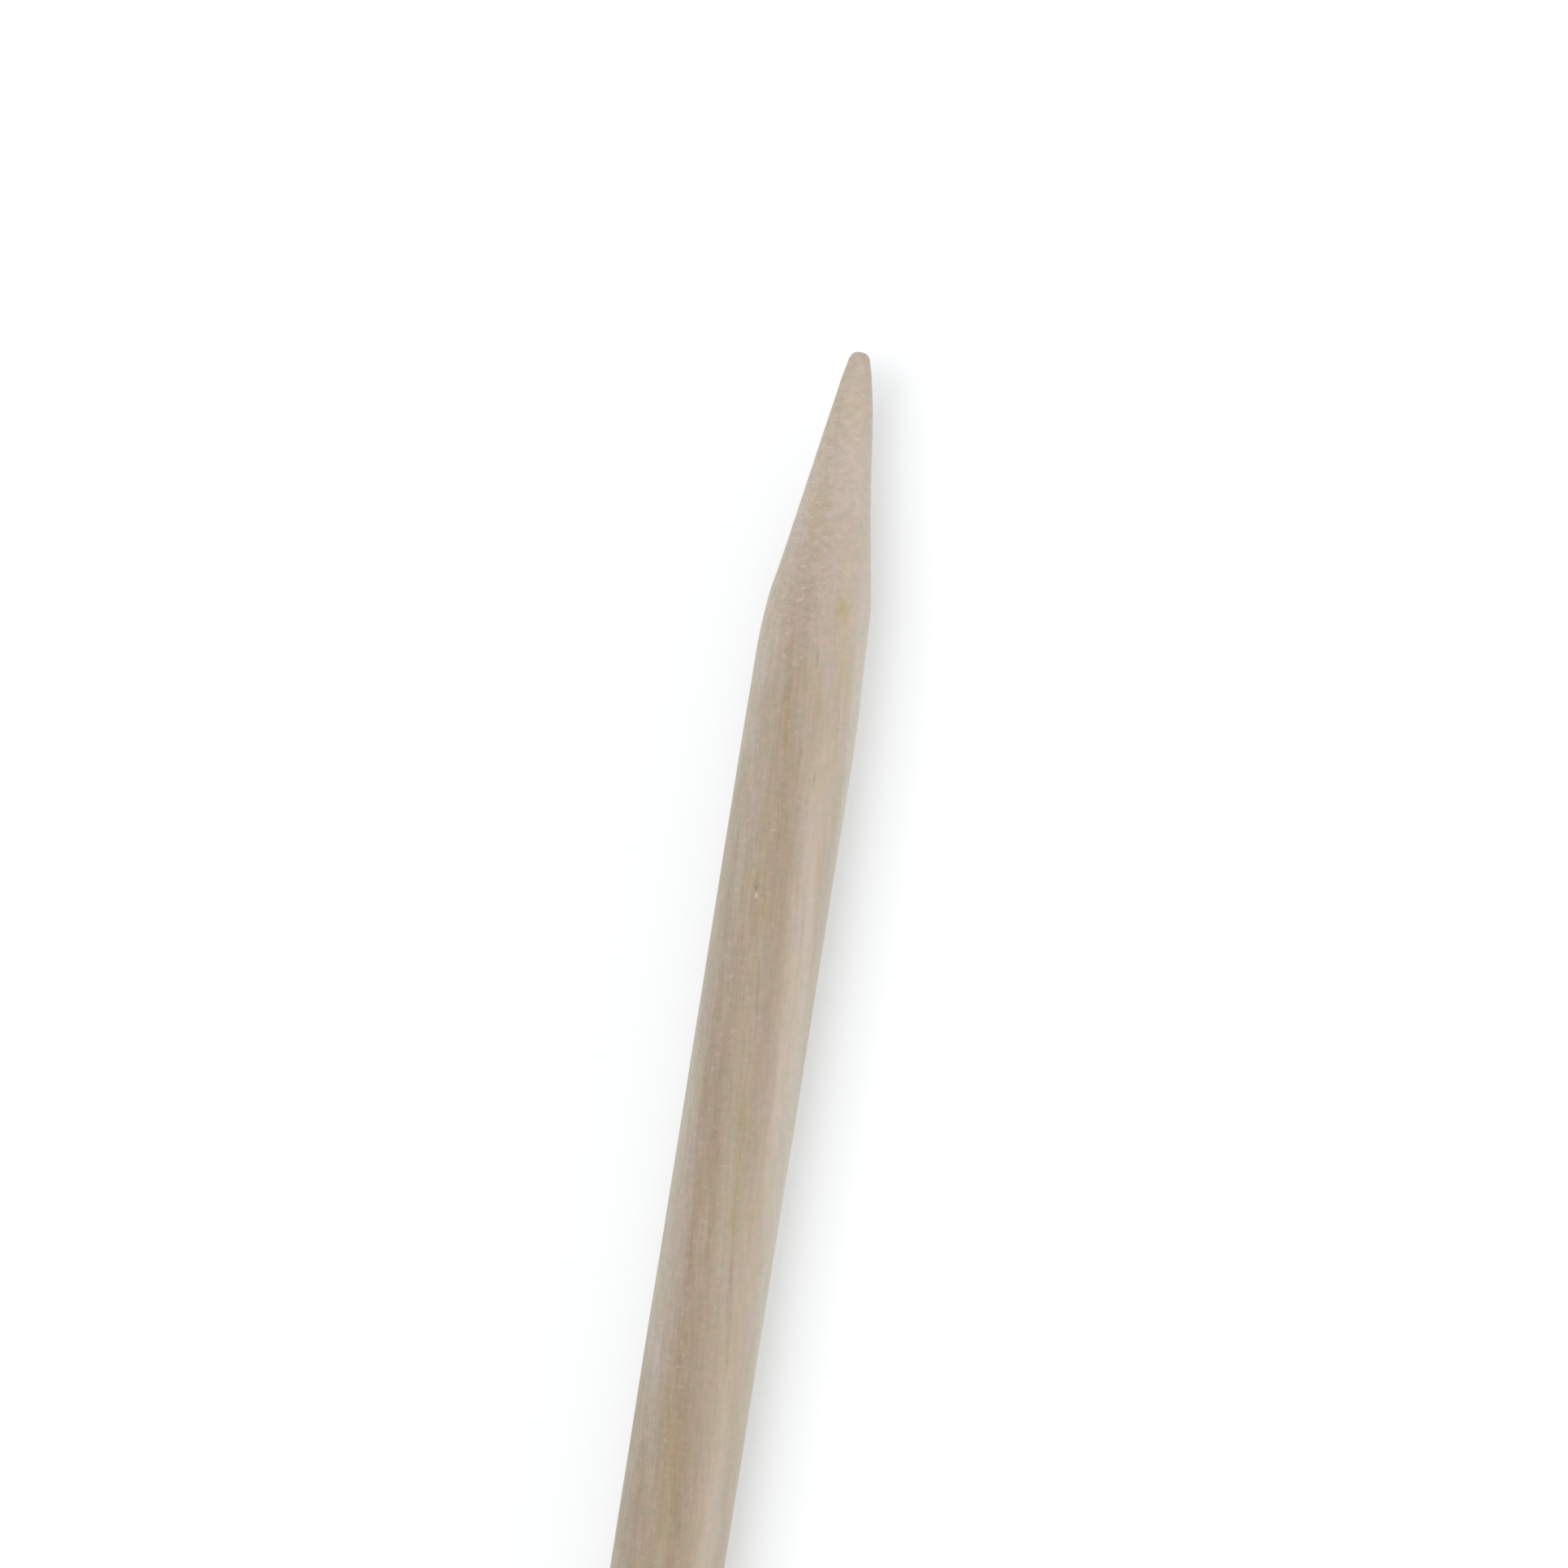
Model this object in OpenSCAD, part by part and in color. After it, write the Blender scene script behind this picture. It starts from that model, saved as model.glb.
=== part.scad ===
// Wooden cuticle pusher: a round hardwood stick with a sanded conical point
// on one end and a slanted pushing face on the other.
// It lies along X with its point towards +X and its slanted face upwards.
// The origin is on the shaft's axis, at the middle of the stick's length.

/* [Stick] */
// Overall length, from the blunt point to the pusher edge
stick_l = 115; // [90:1:180]
// Diameter of the round shaft
shaft_d = 4; // [3.8:0.1:6]

/* [Point] */
// Length of the sanded cone
cone_l = 8.8; // [6:0.1:14]
// Diameter of the cone where it meets the shoulder
cone_d = 3.58; // [3:0.01:3.7]
// Diameter of the cone at its blunt tip
tip_d = 0.7; // [0.6:0.05:1.2]
// Rounding of the tip's edge
tip_round = 0.24; // [0.1:0.01:0.28]

/* [Shoulder] */
// Length of the curve that eases the cone into the shaft
shoulder_l = 5.6; // [4:0.1:9]

/* [Pusher end] */
// Length of the slanted face, along the stick
slant_l = 6; // [4:0.1:10]
// Thickness left at the pusher edge
edge_t = 0.9; // [0.6:0.05:1.5]
// Rounding of the rim, which gives the slanted end its rounded nose
rim_round = 0.8; // [0.2:0.1:1.2]

/* [Hidden] */
shaft_r = shaft_d / 2;
cone_r = cone_d / 2;
tip_r = tip_d / 2;
// Half the cone's included angle
cone_angle = atan((cone_r - tip_r) / cone_l);
// The shoulder is an arc that ends level with the shaft's side
shoulder_drop = shaft_r - cone_r;
shoulder_r = (shoulder_l ^ 2 + shoulder_drop ^ 2) / (2 * shoulder_drop);
// The straight shaft lies between the shoulder and the rim's rounding
shaft_l = stick_l - cone_l - shoulder_l - rim_round;
// Angle between the slanted face and the stick's axis
slant_angle = atan((shaft_d - edge_t) / slant_l);
// How far the cutting block reaches past the stick
clear = 1;
// Smoothness of the round surfaces
round_fn = 96;
// The shoulder's arc is a small part of a large circle, so it is finer
shoulder_fn = 1440;

// Half outlines: x is the distance from the stick's axis and y is the distance
// from the tip's end, so the point is at the bottom and the shaft runs up.

module cone_outline() {
    // The rounding's centre is a radius away from the end and from the cone's side
    centre_x = tip_r + tip_round * (tan(cone_angle) - 1 / cos(cone_angle));
    touch_x = centre_x + tip_round * cos(cone_angle);
    touch_y = tip_round - tip_round * sin(cone_angle);
    polygon([
        [0, 0], [centre_x, 0], [centre_x, tip_round],
        [touch_x, touch_y], [cone_r, cone_l], [0, cone_l]
    ]);
    intersection() {
        translate([centre_x, tip_round])
            circle(r = tip_round, $fn = round_fn);
        translate([centre_x, 0])
            square([tip_round, tip_round]);
    }
}

module shoulder_outline() {
    intersection() {
        translate([0, cone_l])
            square([shaft_r, shoulder_l]);
        translate([shaft_r - shoulder_r, cone_l + shoulder_l])
            circle(r = shoulder_r, $fn = shoulder_fn);
    }
}

module rim_outline() {
    flat_r = shaft_r - rim_round;
    translate([0, stick_l - rim_round]) {
        square([flat_r, rim_round]);
        intersection() {
            translate([flat_r, 0])
                circle(r = rim_round, $fn = round_fn);
            square([shaft_r, rim_round]);
        }
    }
}

module point() {
    rotate_extrude($fn = round_fn) {
        cone_outline();
        shoulder_outline();
    }
}

module shaft() {
    translate([0, 0, cone_l + shoulder_l])
        cylinder(r = shaft_r, h = shaft_l, $fn = round_fn);
}

module rim() {
    rotate_extrude($fn = round_fn)
        rim_outline();
}

// The waste above the slanted face, in the frame of the finished part
module slant_waste() {
    translate([-stick_l / 2, 0, edge_t - shaft_r])
        rotate([0, -slant_angle, 0])
            translate([-shaft_d, -shaft_r - clear, 0])
                cube([slant_l + 2 * shaft_d, shaft_d + 2 * clear, shaft_d]);
}

module stick() {
    color([0.75, 0.69, 0.62])
        difference() {
            translate([stick_l / 2, 0, 0])
                rotate([0, -90, 0])
                    union() {
                        point();
                        shaft();
                        rim();
                    }
            slant_waste();
        }
}

stick();
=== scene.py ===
import math
import bmesh
import bpy
from mathutils import Matrix, Vector, noise


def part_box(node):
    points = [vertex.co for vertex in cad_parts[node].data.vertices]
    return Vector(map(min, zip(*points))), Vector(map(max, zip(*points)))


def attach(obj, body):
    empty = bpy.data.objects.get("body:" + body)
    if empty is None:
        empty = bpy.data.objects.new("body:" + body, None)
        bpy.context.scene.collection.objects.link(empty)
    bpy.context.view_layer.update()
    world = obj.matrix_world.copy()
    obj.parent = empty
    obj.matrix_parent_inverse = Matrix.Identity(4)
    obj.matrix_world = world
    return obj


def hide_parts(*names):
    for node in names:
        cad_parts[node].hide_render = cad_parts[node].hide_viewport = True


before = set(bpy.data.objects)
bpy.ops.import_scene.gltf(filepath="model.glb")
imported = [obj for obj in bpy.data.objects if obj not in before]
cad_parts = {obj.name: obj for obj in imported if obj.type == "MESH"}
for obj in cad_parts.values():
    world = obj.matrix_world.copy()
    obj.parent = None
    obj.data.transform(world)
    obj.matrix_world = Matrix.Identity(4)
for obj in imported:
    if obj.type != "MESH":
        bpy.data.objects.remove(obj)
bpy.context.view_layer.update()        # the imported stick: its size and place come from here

mm = 0.001

# What the frame says about the stick, in millimetres. The axis lies along X through the origin.
stickLow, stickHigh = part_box("stick")
stickLength = (stickHigh[0] - stickLow[0]) / mm
shaftRadius = (stickHigh[2] - stickLow[2]) / 2 / mm
tipEnd = stickHigh[0] / mm
pusherEnd = stickLow[0] / mm
floorHeight = stickLow[2]
print("frame loaded: stick", round(stickLength, 2), "x", round(2 * shaftRadius, 2), "mm")


def hexColour(code):
    # sRGB hex to the linear colour that a shader takes
    parts = [int(code[i:i + 2], 16) / 255 for i in (1, 3, 5)]
    return [c / 12.92 if c <= 0.04045 else ((c + 0.055) / 1.055) ** 2.4 for c in parts] + [1.0]


def addNode(tree, kind, settings=None, inputs=None, stops=None):
    # adds a node, sets it up, gives a ramp its stops, and links or fills in the inputs
    node = tree.nodes.new(kind)
    for name, value in (settings or {}).items():
        setattr(node, name, value)
    if stops:
        ramp = node.color_ramp.elements
        while len(ramp) < len(stops):
            ramp.new(0.5)
        for element, (place, colour) in zip(ramp, stops):
            element.position = place
            element.color = hexColour(colour)
    for socket, value in (inputs or {}).items():
        if isinstance(value, bpy.types.NodeSocket):
            tree.links.new(value, node.inputs[socket])
        else:
            node.inputs[socket].default_value = value
    return node


def smoothStep(start, end, value):
    # 0 at the start and 1 at the end, which may be the lower of the two
    share = min(1, max(0, (value - start) / (end - start)))
    return share * share * (3 - 2 * share)


def hump(middle, spread, value):
    # a soft swelling, 1 at its middle
    return math.exp(-((value - middle) / spread) ** 2)


# ---- the stick ----

stick = {
    "name": "manicure_stick",
    "coneLength": 8.8,          # mm, as every size here: the sanded cone
    "coneRadius": 1.79,         # where the cone meets the shoulder
    "tipRadius": 0.35,          # where the cone meets the blunt tip
    "tipRound": 0.24,
    "shoulderLength": 5.6,      # the curve that eases the cone into the shaft
    "rimRound": 0.8,
    "slantLength": 6.0,
    "edgeThickness": 0.9,       # left at the pusher edge
    "easedEdge": 0.36,          # how far from the slanted face's edge the sander's rounding reaches
    "runOut": 5.0,              # degrees that the grain strays from the axis
    "around": 128,              # faces round the stick
    "tipRings": 8,              # rings of faces round the tip's rounding
    "rimRings": 12,             # and round the rim's
    "slantRings": 18,           # and on the slanted face
    "finePitch": 0.1,           # between rings on the point and at the pusher end
    "fineLead": 1.5,            # how far before the slant the fine rings begin
    "shaftPitch": 0.26,         # between rings on the shaft
    "seamWeld": 0.0005,         # points nearer than this on the turned blank are one
    "rimWeld": 0.04,            # the same on the rim of the cut, where the saw often passes close to a corner
    "sawn": 0.00001,            # points nearer than this to the saw's plane lie on it
}


def outlinePlaces():
    # distance behind the tip and radius of each ring, from the tip's centre to the pusher end's centre
    s = stick
    cone = math.atan((s["coneRadius"] - s["tipRadius"]) / s["coneLength"])
    tipFlat = s["tipRadius"] + s["tipRound"] * (math.tan(cone) - 1 / math.cos(cone))
    places = [(0, 0), (0, tipFlat / 2), (0, tipFlat)]
    for i in range(1, s["tipRings"] + 1):
        turn = (math.pi / 2 - cone) * i / s["tipRings"]
        places.append((s["tipRound"] * (1 - math.cos(turn)), tipFlat + s["tipRound"] * math.sin(turn)))
    drop = shaftRadius - s["coneRadius"]
    shoulderRadius = (s["shoulderLength"] ** 2 + drop ** 2) / (2 * drop)
    shoulderEnd = s["coneLength"] + s["shoulderLength"]
    fineStart = stickLength - s["slantLength"] - s["fineLead"]
    rimStart = stickLength - s["rimRound"]
    place = places[-1][0] + s["finePitch"]
    while place < rimStart - s["finePitch"] / 2:
        if place < s["coneLength"]:
            radius = s["tipRadius"] + place * math.tan(cone)
        elif place < shoulderEnd:
            away = shoulderEnd - place
            radius = shaftRadius - shoulderRadius + math.sqrt(shoulderRadius ** 2 - away ** 2)
        else:
            radius = shaftRadius
        places.append((place, radius))
        onShaft = shoulderEnd < place < fineStart
        place += s["shaftPitch"] if onShaft else s["finePitch"]
    endFlat = shaftRadius - s["rimRound"]
    for i in range(s["rimRings"] + 1):
        turn = math.pi / 2 * i / s["rimRings"]
        places.append((rimStart + s["rimRound"] * math.sin(turn), endFlat + s["rimRound"] * math.cos(turn)))
    places += [(stickLength, endFlat / 2), (stickLength, 0)]
    return places


def turnBlank():
    # the stick as turned: its outline spun round the axis
    blank = bmesh.new()
    chain = [blank.verts.new((tipEnd - place, 0, radius)) for place, radius in outlinePlaces()]
    for first, second in zip(chain, chain[1:]):
        blank.edges.new((first, second))
    bmesh.ops.spin(blank, geom=blank.verts[:] + blank.edges[:], cent=(0, 0, 0), axis=(1, 0, 0),
                   angle=2 * math.pi, steps=stick["around"], use_merge=True)
    bmesh.ops.remove_doubles(blank, verts=blank.verts, dist=stick["seamWeld"])
    bmesh.ops.recalc_face_normals(blank, faces=blank.faces)
    return blank


def cutSlant(body):
    # saws the pusher end off at its slant and closes the cut with rings of small faces
    rise = (2 * shaftRadius - stick["edgeThickness"]) / stick["slantLength"]
    start = Vector((pusherEnd, 0, stick["edgeThickness"] - shaftRadius))
    upwards = Vector((-rise, 0, 1)).normalized()
    cut = bmesh.ops.bisect_plane(body, geom=body.verts[:] + body.edges[:] + body.faces[:],
                                 dist=stick["sawn"], plane_co=start, plane_no=upwards, clear_outer=True)
    corners = [v for v in cut["geom_cut"] if isinstance(v, bmesh.types.BMVert)]
    # sorted along a line that no two of them share a place on, so that each run welds the same ones
    corners.sort(key=lambda v: v.co.y + v.co.z / 3)
    bmesh.ops.remove_doubles(body, verts=corners, dist=stick["rimWeld"])
    rim = [e for e in body.edges if e.is_boundary]
    middle = start + Vector((stick["slantLength"], 0, stick["slantLength"] * rise)) / 2
    for ring in range(stick["slantRings"], 1, -1):
        grown = bmesh.ops.extrude_edge_only(body, edges=rim)["geom"]
        rim = [e for e in grown if isinstance(e, bmesh.types.BMEdge) and e.is_boundary]
        inner = [v for v in grown if isinstance(v, bmesh.types.BMVert)]
        bmesh.ops.scale(body, vec=[(ring - 1) / ring] * 3, space=Matrix.Translation(-middle), verts=inner)
    bmesh.ops.contextual_create(body, geom=rim)
    bmesh.ops.recalc_face_normals(body, faces=body.faces)
    return start, upwards


wear = {
    # hand-fed sanding leaves the point uneven: mm high, mm behind the tip, mm of spread along the stick
    "tipBulge": (0.09, 2.2, 1.8),           # the -Y side is fuller near the tip
    "shoulderSwell": (0.07, 10.2, 1.7),     # the +Y side has the rounder shoulder
    "shoulderHollow": (0.042, 11.3, 1.6),   # and the -Y side a hollow one
    "aside": (-0.2, 1),         # how these grow round to their side, as the share of the radius that y is
    "tipCrown": 0.7,            # how far the blunt end falls away at its rim, as mm for each square mm
    # noise that moves the surface: mm deep, and how many waves to the mm along X, Y and Z. The grain lines
    # are about ten times as wide as a real fibre, which is as fine as the mesh can hold
    "outOfRound": (0.012, (0.12, 0.5, 0.5)),
    "grainLines": (0.006, (0.15, 3.2, 3.2)),
    "pits": (0.006, (2.2, 4.5, 4.5)),
    "grainShift": (7, 3, 5),    # mm, so that the grain lines don't begin where the pits do
    # where each kind of wear comes in, as mm behind the tip
    "bulgeStart": (0, 0.5),
    "outOfRoundStart": (0.3, 3),
    "pitStart": (0.1, 0.6),
    "grainStart": (9, 13),
    "crownEnd": (0.9, 0.2),     # the tip's crown is full at the tip and ends here
    "slantSkin": (0.15, 0.02),  # mm under the slanted face, where the shaft's wear gives way to the face's
    "nearAxis": 0.05,           # mm from the axis, within which a point hardly has a side
}


def sideSwelling(name, aside, behind):
    height, middle, spread = wear[name]
    return aside * height * hump(middle, spread, behind)


def roughened(name, spot, shift=(0, 0, 0)):
    depth, waves = wear[name]
    return depth * noise.noise(Vector([place * count for place, count in zip(spot, waves)]) + Vector(shift))


def wearSurface(body, slantStart, slantUp):
    # sanding and grain: small moves of each point along its own normal
    body.normal_update()
    runOut = Matrix.Rotation(math.radians(-stick["runOut"]), 3, "Z")
    moves = []
    for v in body.verts:
        behind = tipEnd - v.co.x
        across = v.co.y / max(math.hypot(v.co.y, v.co.z), wear["nearAxis"])
        onLeft = smoothStep(*wear["aside"], across)
        onRight = smoothStep(*wear["aside"], -across)
        onSlant = smoothStep(*wear["slantSkin"], -(v.co - slantStart).dot(slantUp))
        onShaft = smoothStep(*wear["grainStart"], behind) * (1 - onSlant)
        move = sideSwelling("tipBulge", onRight, behind) * smoothStep(*wear["bulgeStart"], behind)
        move += sideSwelling("shoulderSwell", onLeft, behind)
        move -= sideSwelling("shoulderHollow", onRight, behind)
        move += roughened("outOfRound", v.co) * smoothStep(*wear["outOfRoundStart"], behind) * (1 - onSlant)
        move += roughened("grainLines", runOut @ v.co, wear["grainShift"]) * onShaft
        move += roughened("pits", runOut @ v.co) * (1 - onShaft) * smoothStep(*wear["pitStart"], behind)
        moves.append(v.normal * move)
    for v, move in zip(body.verts, moves):
        nearTip = smoothStep(*wear["crownEnd"], tipEnd - v.co.x)
        v.co += move
        v.co.x -= wear["tipCrown"] * (v.co.y ** 2 + v.co.z ** 2) * (1 + v.co.y) * nearTip


def blankSurface(spot):
    # near the pusher end: how far a point lies under the turned blank's surface, and the way out
    radius = max(math.hypot(spot.y, spot.z), 1e-6)      # never 0 on the axis
    outwards = Vector((0, spot.y, spot.z)) / radius
    endFlat = shaftRadius - stick["rimRound"]
    pastRim = pusherEnd + stick["rimRound"] - spot.x
    if pastRim < 0:
        return shaftRadius - radius, outwards
    if radius < endFlat:
        return stick["rimRound"] - pastRim, Vector((-1, 0, 0))
    fromCentre = outwards * (radius - endFlat) - Vector((pastRim, 0, 0))
    return stick["rimRound"] - fromCentre.length, fromCentre.normalized()


def easeEdge(body, slantStart, slantUp):
    # the sander leaves no sharp edge round the slant, so both surfaces bend into each other
    reach = stick["easedEdge"]
    pastSlant = pusherEnd + stick["slantLength"] + stick["fineLead"]
    for v in body.verts:
        if v.co.x > pastSlant:
            continue
        underBlank, blankOut = blankSurface(v.co)
        underSlant = -(v.co - slantStart).dot(slantUp)
        near = max(0, 1 - abs(underSlant - underBlank) / reach)
        share = near / 2 if underSlant > underBlank else 1 - near / 2
        outwards = blankOut.lerp(slantUp, share)
        v.co -= outwards * (reach / 4 * near ** 2 / outwards.length_squared)


def makeStick():
    body = turnBlank()
    slantStart, slantUp = cutSlant(body)
    wearSurface(body, slantStart, slantUp)
    easeEdge(body, slantStart, slantUp)
    bmesh.ops.transform(body, matrix=Matrix.Scale(mm, 4), verts=body.verts)
    for face in body.faces:
        face.smooth = True
    mesh = bpy.data.meshes.new(stick["name"])
    body.to_mesh(mesh)
    body.free()
    piece = bpy.data.objects.new(stick["name"], mesh)
    bpy.context.collection.objects.link(piece)
    return piece


manicureStick = makeStick()
print("stick shaped:", len(manicureStick.data.polygons), "faces")


# ---- its wood ----

birch = {
    "waver": 0.3,               # mm that the grain wanders sideways
    "waverCount": 0.9,          # waves of it to the mm
    # tones across the stick from its -Y side to its +Y side, as places from 0 to 1 and colours: the wood's
    # own paler and darker zones with painted light on top
    # part of the -Y side's lightness is painted light from that side, and the paler, greyer stops at both
    # edges are a painted rim highlight
    "tones": [(0.0, "#dcd7cf"), (0.2, "#d5cabf"), (0.36, "#c3b7ac"), (0.5, "#bbafa2"), (0.68, "#b3a696"),
              (0.84, "#b8afa7"), (1.0, "#c1beb6")],
    # across the ground point the same way: the wood's own tone with painted light, part of the -Y side's
    # lightness painted light from that side and the paler, greyer edges a painted rim highlight
    "groundTones": [(0.0, "#d7ccc4"), (0.3, "#d1c6bd"), (0.6, "#b9ada2"), (1.0, "#c5bfb9")],
    # the colour darkens a little away from the point, as mm behind the tip and colours
    "awayDarkening": [(10, "#ffffff"), (17, "#fafafa"), (31, "#fafafa"), (42, "#f3f1ee")],
    "shade": "#dfd3c5",         # what the dark parts of the grain take away
    "pinkShade": "#e3d6cf",     # and the shade of torn fibres
    "paleFleck": "#dfd4c6",
    "darkSpeck": "#807059",
    "oliveStreak": "#9d8c5e",
    "brownStreak": "#8a7662",
    "yellowStreak": "#bbae80",
    # growth rings: mm between them, mm that they are moved across the stick, z that they lean for each y
    "ringSpacing": 1.8,
    "ringPlace": 1.2,
    "ringLean": 0.15,
    "ringDark": (-0.6, 0.9),    # where a ring's cosine turns from light to dark
    "ringStrength": 0.3,
    # grain as noise: mm long, mm wide, strength. Birch fibres are 0.02 to 0.03 mm wide, so the finest of
    # the three is drawn about five times as coarse, to show
    "grain": [(9.0, 0.55, 0.3), (3.0, 0.24, 0.3), (1.1, 0.12, 0.35)],
    "grainDark": (0.3, 0.7),    # noise where a line starts and where it is darkest
    "sanded": (0.15, 0.6, 0.5),     # places across the stick where sanding starts and is full, least share
    # where the shaft gives way to the ground point, as mm behind the tip, before the ragged edge
    # brings it up to 3 mm nearer the tip: for the tones, and for the torn fibres
    "groundEdge": (14.0, 6.0),
    "tornEdge": (13.0, 10.5),
    "tornLeast": 0.45,          # what is left of the torn fibres on the shaft
    "raggedDepth": 3.0,
    "raggedCount": 1.1,         # waves to the mm
    # tints over the wood: mm of each patch along the grain and across it, and its two colours
    "tints": [((0.38, 0.38, 0.38), "#fff9f5", "#f6f8f2"), ((2.6, 0.8, 0.8), "#fdfcf4", "#fefcfd")],
    "tintEdge": (0.4, 0.6),     # noise at the first colour and at the second
    "sanderTurn": 20,           # degrees that the sander's marks lean from square across the stick
    "tornCount": (5.4, 3.0, 3.6),   # marks to the mm: 0.2 to 0.3 mm each, and the real ones are finer
    "mottle": (0.38, 0.62, 0.5),    # noise where the shade starts and is full, strength
    "fleck": (0.6, 0.82, 0.42),
    "fleckCount": 1.25,         # flecks to each mark of the mottle
    "roughness": 0.62,
    "roughnessSpread": 0.1,
    "ior": 1.5,                 # dry wood
    "sheen": 0.12,              # loose fibre ends catch a little light at the edges
    "sheenRoughness": 0.4,
    "fibreHeight": 0.02,        # mm
    "fibreBump": 0.4,
    # streaks that the eye picks out on the upper side: mm behind the tip, mm to the +Y side of the axis,
    # half length, half width, strength
    "oliveStreaks": [
        (9.12, -0.78, 0.4, 0.26, 0.3), (12.9, 0.54, 3.2, 0.14, 0.5), (14.6, -0.13, 1.2, 0.15, 0.4),
        (15.2, -0.72, 0.45, 0.07, 0.5), (18.0, -0.32, 1.0, 0.18, 0.4), (18.9, 0.68, 0.6, 0.12, 0.45),
        (20.2, 0.35, 1.3, 0.3, 0.4), (22.2, 0.2, 2.2, 0.2, 0.35), (27.5, -0.2, 3.2, 0.3, 0.38),
        (31.2, -0.45, 2.6, 0.28, 0.38), (34.5, -0.76, 3.2, 0.17, 0.4), (40.2, 0.35, 3.4, 0.5, 0.45)],
    "brownStreaks": [
        (11.0, -0.17, 0.5, 0.1, 0.4), (11.3, 0.68, 1.7, 0.12, 0.4), (16.8, 0.25, 1.9, 0.45, 0.25),
        (23.3, 0.02, 2.2, 0.11, 0.35), (25.6, 0.9, 1.7, 0.24, 0.15), (28.4, 0.72, 2.0, 0.34, 0.15),
        (32.2, 0.3, 1.6, 0.13, 0.4), (32.4, 0.92, 2.2, 0.2, 0.35), (35.6, 0.76, 2.0, 0.22, 0.4),
        (37.4, 0.4, 1.6, 0.4, 0.28), (41.6, -0.1, 1.5, 0.2, 0.35)],
    "yellowStreaks": [
        (9.2, -0.8, 0.8, 0.42, 0.8), (12.3, -1.2, 3.4, 0.08, 0.55), (12.3, -0.13, 0.5, 0.09, 0.4),
        (18.4, -1.4, 1.2, 0.12, 0.35), (39.5, -1.0, 1.4, 0.08, 0.5)],
    "streakDepth": 1.0,         # mm into the wood
    "markCore": 0.1,            # share of its reach within which a soft mark is at full strength
    "streakBreak": (0.35, 0.6, 0.5),    # noise where the fibres start and stop breaking a streak, least share
    # a dark speck on the shaft and a pale one behind it: mm behind the tip, mm to the +Y side, strength
    "specks": [(19.26, 0.66, 0.8, "darkSpeck"), (19.52, 0.62, 0.4, "paleFleck")],
    "speckReach": (0.16, 0.09, 0.3),
}


def onTop(behind, left):
    # a place on the upper side of the stick, in mm
    return Vector((tipEnd - behind, left, math.sqrt(shaftRadius ** 2 - left ** 2)))


def softMark(tree, inMm, centre, reach, strength):
    # a soft spot in the wood: full strength near its centre and 0 past its reach, in mm along X, Y and Z
    away = addNode(tree, "ShaderNodeVectorMath", {"operation": "SUBTRACT"}, {0: inMm, 1: centre})
    scaled = addNode(tree, "ShaderNodeVectorMath", {"operation": "DIVIDE"}, {
        0: away.outputs[0], 1: reach})
    far = addNode(tree, "ShaderNodeVectorMath", {"operation": "LENGTH"}, {0: scaled.outputs[0]})
    return addNode(tree, "ShaderNodeMapRange", {"interpolation_type": "SMOOTHSTEP"}, {
        "Value": far.outputs["Value"], "From Min": 1, "From Max": birch["markCore"],
        "To Max": strength}).outputs[0]


def grainPlaces(tree):
    # places in the wood, in mm: as they are, turned to the grain, and turned with the grain's waver
    place = addNode(tree, "ShaderNodeTexCoord").outputs["Object"]
    inMm = addNode(tree, "ShaderNodeMapping", inputs={
        "Vector": place, "Scale": (1 / mm, 1 / mm, 1 / mm)}).outputs[0]
    alongGrain = addNode(tree, "ShaderNodeMapping", inputs={
        "Vector": inMm, "Rotation": (0, 0, -math.radians(stick["runOut"]))}).outputs[0]
    waver = addNode(tree, "ShaderNodeTexNoise", inputs={
        "Vector": alongGrain, "Scale": birch["waverCount"], "Detail": 4.0})
    bent = addNode(tree, "ShaderNodeVectorMath", {"operation": "MULTIPLY_ADD"}, {
        0: waver.outputs["Color"], 1: (0, birch["waver"], 0), 2: alongGrain}).outputs[0]
    return inMm, alongGrain, bent


def toneAndPaintedLight(tree, behind, onSide):
    # sapwood on one side and darker wood on the other, with painted light on top: part of the -Y side's
    # lightness is painted light from that side, and both edges are painted paler as a rim highlight. A little
    # darker away from the point
    across = addNode(tree, "ShaderNodeValToRGB", inputs={0: onSide}, stops=birch["tones"])
    away = addNode(tree, "ShaderNodeMapRange", inputs={"Value": behind, "From Max": stickLength})
    awayDarkening = addNode(tree, "ShaderNodeValToRGB", inputs={0: away.outputs[0]}, stops=[
        (spot / stickLength, colour) for spot, colour in birch["awayDarkening"]])
    return addNode(tree, "ShaderNodeMix", {"data_type": "RGBA", "blend_type": "MULTIPLY"}, {
        0: 1.0, 6: across.outputs[0], 7: awayDarkening.outputs[0]}).outputs[2]


def addRings(tree, tone, bent):
    # growth rings: soft dark bands along the grain
    axes = addNode(tree, "ShaderNodeSeparateXYZ", inputs={0: bent})
    lean = addNode(tree, "ShaderNodeMath", {"operation": "MULTIPLY_ADD"}, {
        0: axes.outputs["Z"], 1: birch["ringLean"], 2: axes.outputs["Y"]})
    turns = 2 * math.pi / birch["ringSpacing"]
    phase = addNode(tree, "ShaderNodeMath", {"operation": "MULTIPLY_ADD"}, {
        0: lean.outputs[0], 1: turns, 2: birch["ringPlace"] * turns})
    ring = addNode(tree, "ShaderNodeMath", {"operation": "COSINE"}, {0: phase.outputs[0]})
    light, full = birch["ringDark"]
    dark = addNode(tree, "ShaderNodeMapRange", {"interpolation_type": "SMOOTHSTEP"}, {
        "Value": ring.outputs[0], "From Min": light, "From Max": full, "To Max": birch["ringStrength"]})
    return addNode(tree, "ShaderNodeMix", {"data_type": "RGBA", "blend_type": "MULTIPLY"}, {
        0: dark.outputs[0], 6: tone, 7: hexColour(birch["shade"])}).outputs[2]


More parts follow.
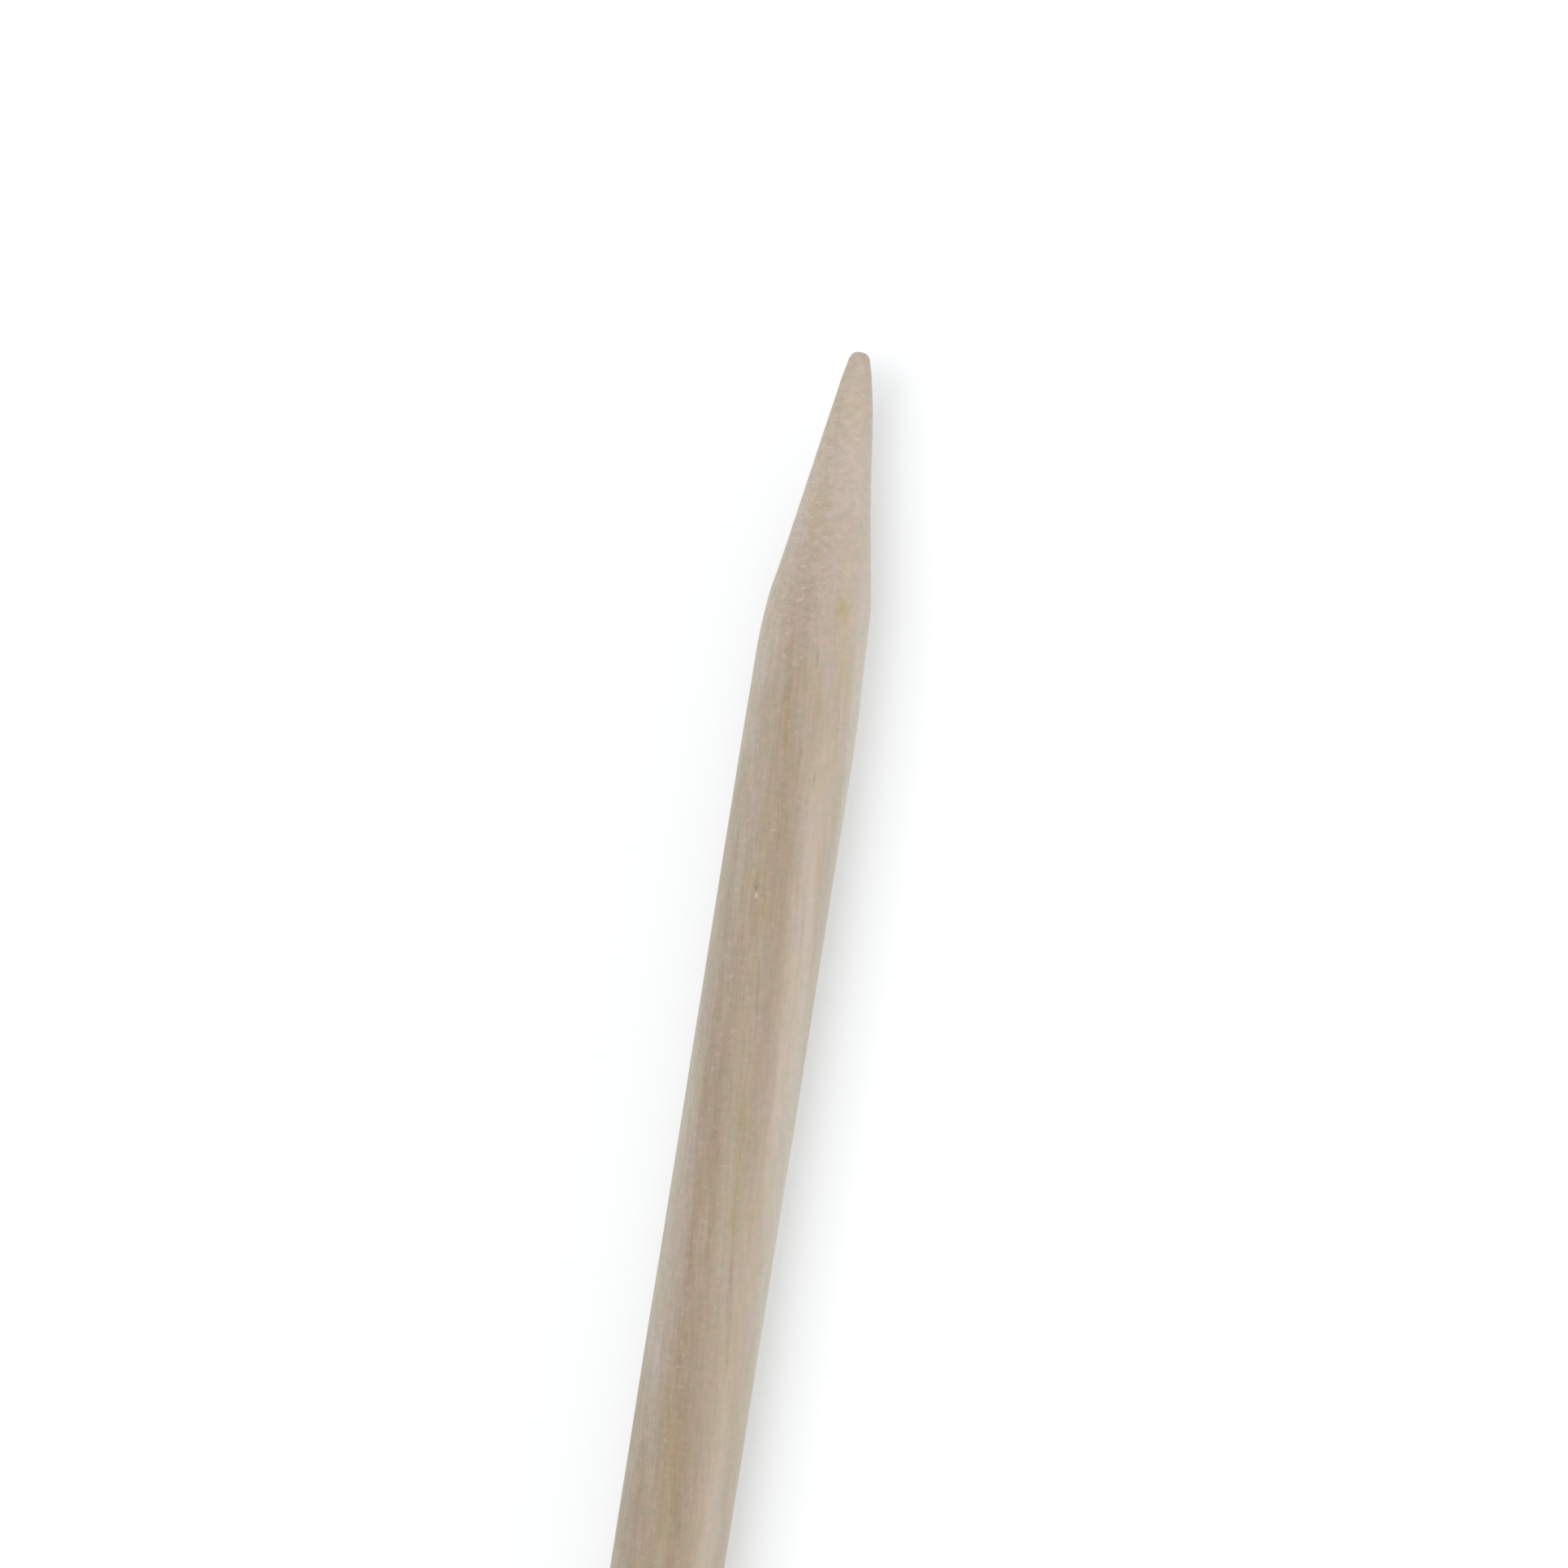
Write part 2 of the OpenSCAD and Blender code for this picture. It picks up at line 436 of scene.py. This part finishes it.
def addGrain(tree, tone, alongGrain, sanded):
    # grain lines from broad to fine, and the finest as a pattern of fibres
    light, full = birch["grainDark"]
    for length, width, strength in birch["grain"]:
        stretch = addNode(tree, "ShaderNodeMapping", inputs={
            "Vector": alongGrain, "Scale": (1 / length, 1 / width, 1 / width)})
        lines = addNode(tree, "ShaderNodeTexNoise", inputs={
            "Vector": stretch.outputs[0], "Scale": 1.0, "Detail": 2.0, "Distortion": 0.3})
        depth = addNode(tree, "ShaderNodeMapRange", inputs={
            "Value": lines.outputs["Fac"], "From Min": light, "From Max": full, "To Max": strength})
        part = addNode(tree, "ShaderNodeMath", {"operation": "MULTIPLY"}, {
            0: depth.outputs[0], 1: sanded})
        tone = addNode(tree, "ShaderNodeMix", {"data_type": "RGBA", "blend_type": "MULTIPLY"}, {
            0: part.outputs[0], 6: tone, 7: hexColour(birch["shade"])}).outputs[2]
    return tone, lines.outputs["Fac"]


def addGroundPoint(tree, tone, onSide, ragged):
    # paler and flatter in tone towards the tip
    shaft, ground = birch["groundEdge"]
    pale = addNode(tree, "ShaderNodeMapRange", inputs={
        "Value": ragged, "From Min": shaft, "From Max": ground})
    # its tones across the point carry painted light: part of the -Y side's lightness is painted light, and
    # the edges are painted paler as a rim highlight
    groundTone = addNode(tree, "ShaderNodeValToRGB", inputs={0: onSide}, stops=birch["groundTones"])
    return addNode(tree, "ShaderNodeMix", {"data_type": "RGBA"}, {
        0: pale.outputs[0], 6: tone, 7: groundTone.outputs[0]}).outputs[2]


def addStreaks(tree, tone, bent, fibre):
    # darker streaks that the eye picks out, broken up by the fibres
    upright = Matrix.Rotation(-math.radians(stick["runOut"]), 3, "Z")
    settle = Vector((0, birch["waver"] / 2, 0))     # the waver's mean
    start, full, least = birch["streakBreak"]
    broken = addNode(tree, "ShaderNodeMapRange", inputs={
        "Value": fibre, "From Min": start, "From Max": full, "To Min": least}).outputs[0]
    for kind in ("yellowStreak", "brownStreak", "oliveStreak"):
        for spot, left, halfLength, halfWidth, strength in birch[kind + "s"]:
            centre = upright @ onTop(spot, left) + settle
            mask = softMark(tree, bent, centre, (halfLength, halfWidth, birch["streakDepth"]), strength)
            part = addNode(tree, "ShaderNodeMath", {"operation": "MULTIPLY"}, {0: mask, 1: broken})
            tone = addNode(tree, "ShaderNodeMix", {"data_type": "RGBA"}, {
                0: part.outputs[0], 6: tone, 7: hexColour(birch[kind])}).outputs[2]
    return tone


def addTints(tree, tone, alongGrain):
    # faint pink and greenish patches, and longer warm and cool ones
    start, end = birch["tintEdge"]
    for size, first, second in birch["tints"]:
        spread = addNode(tree, "ShaderNodeMapping", inputs={
            "Vector": alongGrain, "Scale": [1 / reach for reach in size]})
        patches = addNode(tree, "ShaderNodeTexNoise", inputs={
            "Vector": spread.outputs[0], "Scale": 1.0, "Detail": 3.0})
        tint = addNode(tree, "ShaderNodeValToRGB", inputs={0: patches.outputs["Fac"]}, stops=[
            (start, first), (end, second)])
        tone = addNode(tree, "ShaderNodeMix", {"data_type": "RGBA", "blend_type": "MULTIPLY"}, {
            0: 1.0, 6: tone, 7: tint.outputs[0]}).outputs[2]
    return tone


def addTornFibres(tree, tone, inMm, ragged, sanded):
    # where the sander tore the fibres: a mottle and light flecks, most on the ground point
    shaft, ground = birch["tornEdge"]
    onPoint = addNode(tree, "ShaderNodeMapRange", inputs={
        "Value": ragged, "From Min": shaft, "From Max": ground, "To Min": birch["tornLeast"]})
    zone = addNode(tree, "ShaderNodeMath", {"operation": "MULTIPLY"}, {
        0: onPoint.outputs[0], 1: sanded}).outputs[0]
    across = addNode(tree, "ShaderNodeMapping", inputs={
        "Vector": inMm, "Rotation": (0, 0, math.radians(birch["sanderTurn"])), "Scale": birch["tornCount"]})
    mottle = addNode(tree, "ShaderNodeTexNoise", inputs={
        "Vector": across.outputs[0], "Scale": 1.0, "Detail": 5.0, "Roughness": 0.75}).outputs["Fac"]
    torn = addNode(tree, "ShaderNodeTexNoise", inputs={
        "Vector": across.outputs[0], "Scale": birch["fleckCount"], "Detail": 2.0}).outputs["Fac"]
    for blend, pattern, kind, colour in (("MULTIPLY", mottle, "mottle", "pinkShade"),
                                         ("MIX", torn, "fleck", "paleFleck")):
        start, full, strength = birch[kind]
        depth = addNode(tree, "ShaderNodeMapRange", inputs={
            "Value": pattern, "From Min": start, "From Max": full, "To Max": strength})
        part = addNode(tree, "ShaderNodeMath", {"operation": "MULTIPLY"}, {0: depth.outputs[0], 1: zone})
        tone = addNode(tree, "ShaderNodeMix", {"data_type": "RGBA", "blend_type": blend}, {
            0: part.outputs[0], 6: tone, 7: hexColour(birch[colour])}).outputs[2]
    return tone, mottle, zone


def addSpecks(tree, tone, inMm):
    for spot, left, strength, colour in birch["specks"]:
        mask = softMark(tree, inMm, onTop(spot, left), birch["speckReach"], strength)
        tone = addNode(tree, "ShaderNodeMix", {"data_type": "RGBA"}, {
            0: mask, 6: tone, 7: hexColour(birch[colour])}).outputs[2]
    return tone


def birchWood():
    # bare birch, fine sanded and unsealed: matte, with soft long streaks and a paler, mottled ground point
    material = bpy.data.materials.new("bare sanded birch")
    material.use_nodes = True
    tree = material.node_tree
    tree.nodes.clear()
    inMm, alongGrain, bent = grainPlaces(tree)
    axes = addNode(tree, "ShaderNodeSeparateXYZ", inputs={0: inMm})
    behind = addNode(tree, "ShaderNodeMath", {"operation": "SUBTRACT"}, {
        0: tipEnd, 1: axes.outputs["X"]}).outputs[0]
    onSide = addNode(tree, "ShaderNodeMapRange", inputs={
        "Value": axes.outputs["Y"], "From Min": -shaftRadius, "From Max": shaftRadius}).outputs[0]
    # the sanding shows most on the +Y side
    start, full, least = birch["sanded"]
    sanded = addNode(tree, "ShaderNodeMapRange", inputs={
        "Value": onSide, "From Min": start, "From Max": full, "To Min": least}).outputs[0]
    # the ground point ends in a ragged edge, so its patterns read this instead of the plain distance
    rag = addNode(tree, "ShaderNodeTexNoise", inputs={
        "Vector": inMm, "Scale": birch["raggedCount"], "Detail": 4.0})
    ragged = addNode(tree, "ShaderNodeMath", {"operation": "MULTIPLY_ADD"}, {
        0: rag.outputs["Fac"], 1: birch["raggedDepth"], 2: behind}).outputs[0]

    tone = toneAndPaintedLight(tree, behind, onSide)
    tone = addRings(tree, tone, bent)
    tone, fibre = addGrain(tree, tone, alongGrain, sanded)
    tone = addGroundPoint(tree, tone, onSide, ragged)
    tone = addStreaks(tree, tone, bent, fibre)
    tone = addTints(tree, tone, alongGrain)
    tone, mottle, zone = addTornFibres(tree, tone, inMm, ragged, sanded)
    tone = addSpecks(tree, tone, inMm)

    dull = addNode(tree, "ShaderNodeMapRange", inputs={
        "Value": mottle, "To Min": birch["roughness"] - birch["roughnessSpread"],
        "To Max": birch["roughness"] + birch["roughnessSpread"]})
    relief = addNode(tree, "ShaderNodeMath", {"operation": "MULTIPLY_ADD"}, {0: mottle, 1: zone, 2: fibre})
    raised = addNode(tree, "ShaderNodeBump", inputs={
        "Height": relief.outputs[0], "Strength": birch["fibreBump"], "Distance": birch["fibreHeight"] * mm})
    shader = addNode(tree, "ShaderNodeBsdfPrincipled", inputs={
        "Base Color": tone, "Roughness": dull.outputs[0], "IOR": birch["ior"], "Normal": raised.outputs[0],
        "Sheen Weight": birch["sheen"], "Sheen Roughness": birch["sheenRoughness"]})
    addNode(tree, "ShaderNodeOutputMaterial", inputs={"Surface": shader.outputs[0]})
    return material


manicureStick.data.materials.append(birchWood())
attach(manicureStick, "root")
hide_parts("stick")
print("wood made")


# ---- studio ----

studio = {
    "floorSize": 5.0,           # m
    "floorDrop": 0.012,         # mm, so that the raised grain under the stick doesn't poke through
    "floorColour": "#d5d8da",
    "floorGlow": 0.3,
    "skyStrength": 0.68,
    "lit": 21,                  # mm behind the tip, the middle of what the camera sees of the stick
    "keySize": 0.44,            # m
    "keyDistance": 0.6,
    "keyFromTop": 27,           # degrees
    "keyPower": 1.85,           # W
    "fillSize": 0.25,
    "fillDistance": 0.5,
    "fillFromTop": 70,
    "fillPower": 0.25,
}

view = {
    "lean": 9.034,              # degrees clockwise that the stick leans
    "across": 55.5,             # mm from side to side of the view, at the axis's height
    "behind": 15.52,            # the view's middle, in mm behind the tip
    "left": 0.27,               # and in mm to the +Y side
    "lens": 100,                # mm
    "sensor": 36,
    "nearest": 0.01,            # m, nearer than this nothing is drawn
}


def makeFloor():
    # a lit white acrylic table: the glow keeps it near white right up to the stick
    table = bmesh.new()
    bmesh.ops.create_grid(table, x_segments=1, y_segments=1, size=studio["floorSize"] / 2)
    bmesh.ops.translate(table, verts=table.verts, vec=(0, 0, floorHeight - studio["floorDrop"] * mm))
    mesh = bpy.data.meshes.new("studio_floor")
    table.to_mesh(mesh)
    table.free()
    floor = bpy.data.objects.new("studio_floor", mesh)
    bpy.context.collection.objects.link(floor)
    material = bpy.data.materials.new("white acrylic table")
    material.use_nodes = True
    shader = material.node_tree.nodes["Principled BSDF"]
    shader.inputs["Base Color"].default_value = hexColour(studio["floorColour"])
    shader.inputs["Roughness"].default_value = 0.9
    shader.inputs["Specular IOR Level"].default_value = 0.0
    shader.inputs["Emission Color"].default_value = (1, 1, 1, 1)
    shader.inputs["Emission Strength"].default_value = studio["floorGlow"]
    mesh.materials.append(material)


def makeLights():
    # an even white tent, a large soft box on the +Y side and a small weak one opposite
    world = bpy.data.worlds.new("white tent")
    world.use_nodes = True
    sky = world.node_tree.nodes["Background"]
    sky.inputs["Color"].default_value = (1, 1, 1, 1)
    sky.inputs["Strength"].default_value = studio["skyStrength"]
    bpy.context.scene.world = world
    lit = Vector((tipEnd - studio["lit"], 0, 0)) * mm
    for name, side in (("key", 1), ("fill", -1)):
        lamp = bpy.data.lights.new(name + "_softbox", "AREA")
        lamp.size = studio[name + "Size"]
        lamp.energy = studio[name + "Power"]
        softbox = bpy.data.objects.new(name + "_softbox", lamp)
        fromTop = math.radians(studio[name + "FromTop"])
        towards = Vector((0, side * math.sin(fromTop), math.cos(fromTop)))
        turn = towards.to_track_quat("Z", "X").to_matrix().to_4x4()
        softbox.matrix_world = Matrix.Translation(lit + towards * studio[name + "Distance"]) @ turn
        bpy.context.collection.objects.link(softbox)


def makeCamera():
    # straight down on the point, with the stick running out of the bottom of the view
    lean = math.radians(view["lean"])
    camera = bpy.data.cameras.new("camera")
    camera.lens = view["lens"]
    camera.sensor_width = view["sensor"]
    camera.clip_start = view["nearest"]
    eye = bpy.data.objects.new("camera", camera)
    up = Vector((math.cos(lean), math.sin(lean), 0))
    right = Vector((math.sin(lean), -math.cos(lean), 0))
    turn = Matrix((right, up, Vector((0, 0, 1)))).transposed()
    middle = Vector((tipEnd - view["behind"], view["left"], 0)) * mm
    height = view["across"] * mm * view["lens"] / view["sensor"]
    eye.matrix_world = Matrix.Translation(middle + Vector((0, 0, height))) @ turn.to_4x4()
    bpy.context.collection.objects.link(eye)
    bpy.context.scene.camera = eye


makeFloor()
makeLights()
makeCamera()
bpy.context.scene.view_settings.view_transform = "Standard"
print("studio ready")
